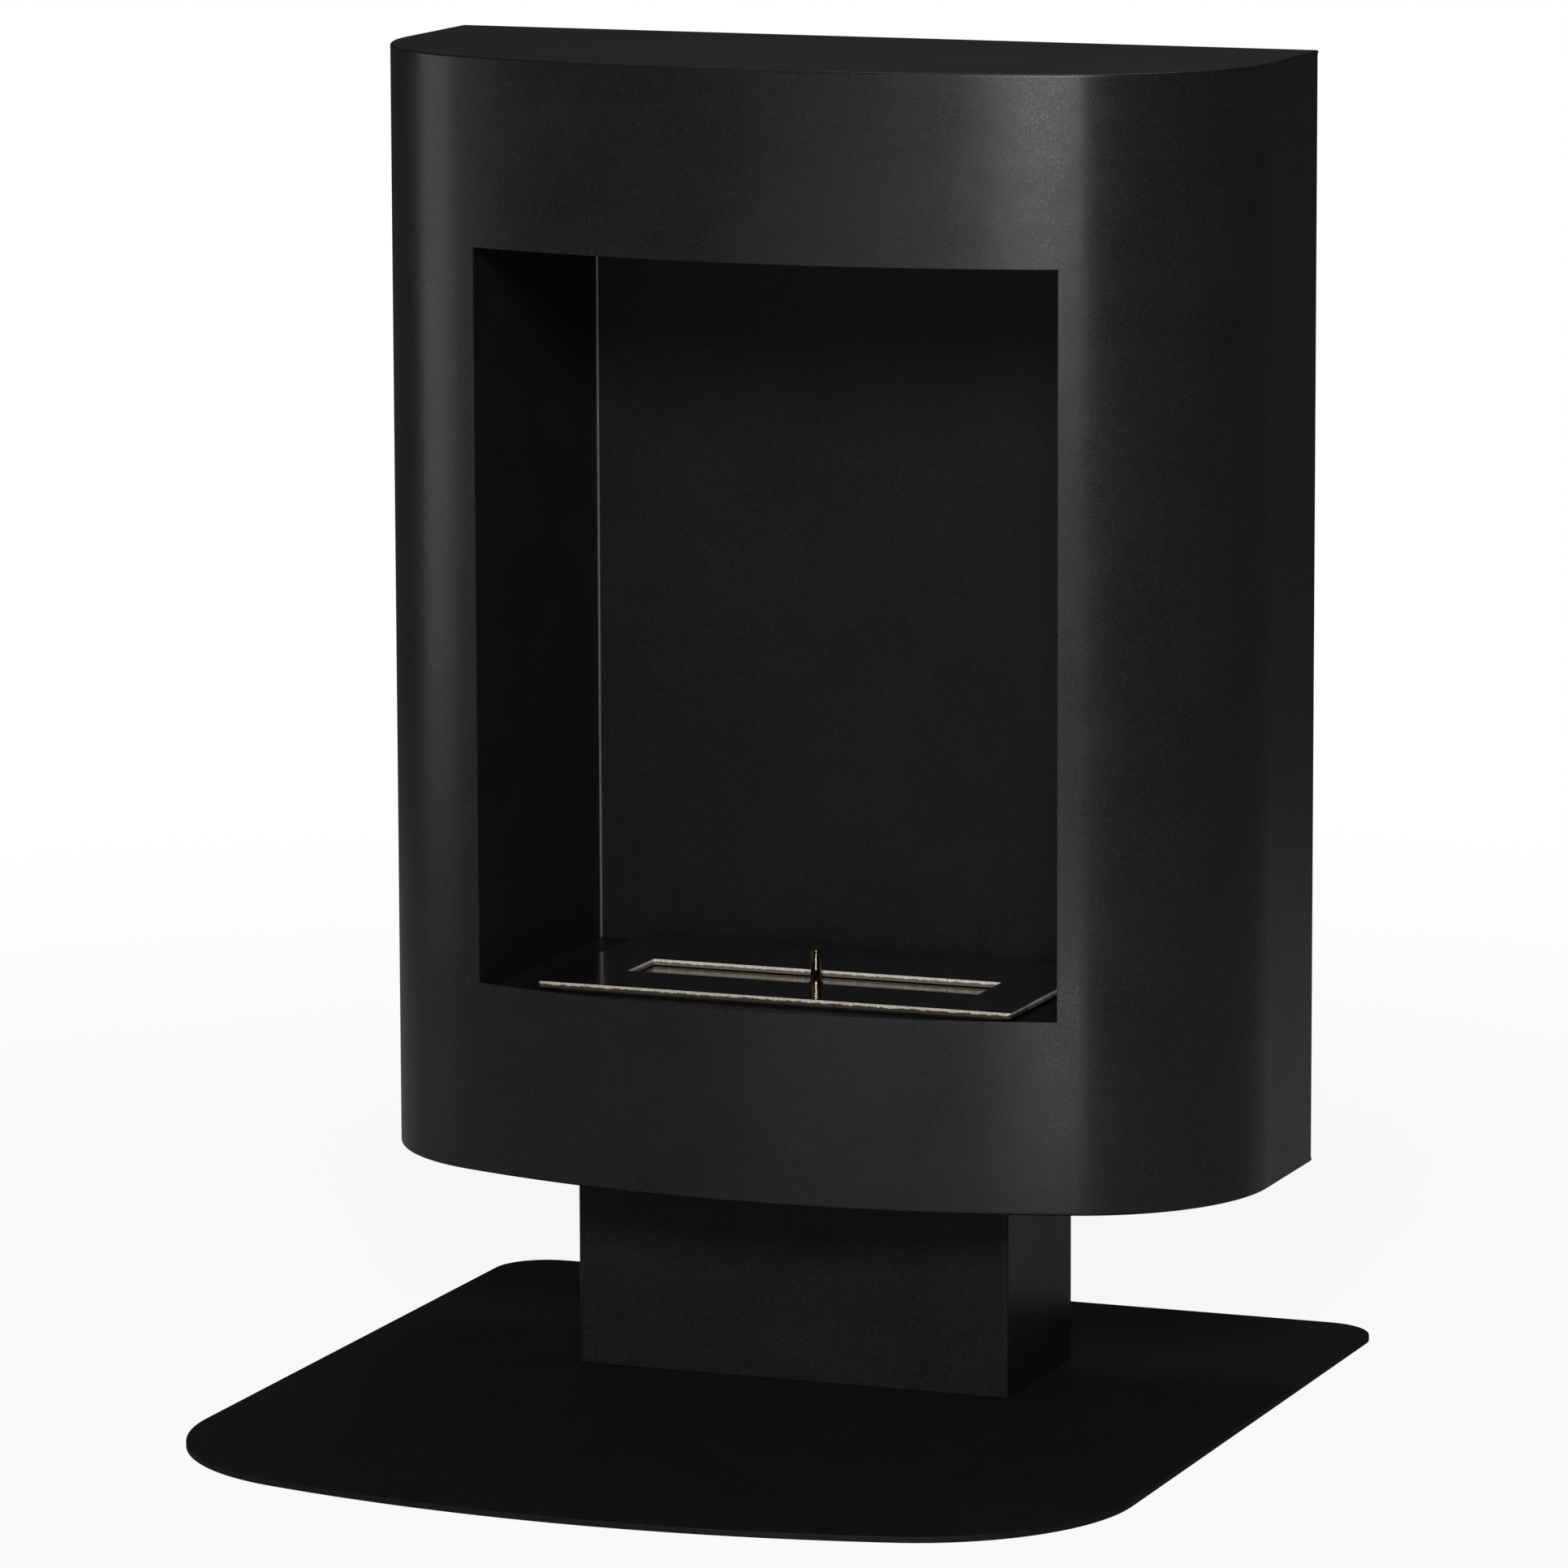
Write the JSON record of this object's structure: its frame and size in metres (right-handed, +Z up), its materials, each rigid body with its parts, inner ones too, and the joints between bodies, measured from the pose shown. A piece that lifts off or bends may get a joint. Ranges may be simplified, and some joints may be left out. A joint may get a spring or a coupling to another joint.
{
  "type": "bioethanol fireplace",
  "caption": "Free-standing bioethanol fireplace: D-plan sheet-steel body with an open firebox and a slide-closed burner, on a boxed pedestal and a D-plan base plate.",
  "frame": {"origin": "on the floor under the middle of the base plate", "axes": "+X to the right seen from the window side, +Y from the window to the back panel, +Z up"},
  "size_m": [0.63, 0.68, 0.869],
  "materials": {
    "black_coat": "matt black fine-textured powder coat",
    "black_screw": "blackened pan-head screw",
    "zinc_steel": "zinc-plated fastener",
    "polished_steel": "polished stainless steel with bright cut edges",
    "mill_steel": "plain stainless steel sheet",
    "pin_steel": "polished steel pin with a warm heat tint",
    "fibre_seal": "dark flat fibre seal",
    "ceramic_wool": "white ceramic fibre"
  },
  "bodies": {
    "stand": {"base_plate": "black_coat", "pedestal": "black_coat", "outer_shell": "black_coat", "top_panel": "black_coat", "bottom_panel": "black_coat", "back_panel": "black_coat", "firebox_liner": "black_coat", "firebox_floor": "black_coat", "firebox_ceiling": "black_coat", "floor_support_left": "black_coat", "floor_support_right": "black_coat", "base_screws": "zinc_steel", "base_nuts": "zinc_steel", "body_bolts": "zinc_steel", "body_nuts": "zinc_steel", "back_screws": "black_screw"},
    "burner": {"burner_top_plate": "polished_steel", "burner_tray": "mill_steel", "burner_gasket": "fibre_seal", "wool_pad": "ceramic_wool", "wool_retainer": "mill_steel", "slider_rail_left": "mill_steel", "slider_rail_right": "mill_steel"},
    "slider": {"slider_plate": "polished_steel", "slider_pin": "pin_steel", "slider_pin_nut": "zinc_steel"}
  },
  "joints": [
    {"name": "burner_lift", "type": "slide", "parent": "stand", "child": "burner", "axis": [0, 0, 1], "range_m": [0, 0.1]},
    {"name": "slider_shift", "type": "slide", "parent": "burner", "child": "slider", "axis": [0, -1, 0], "range_m": [0, 0.021]}
  ]
}
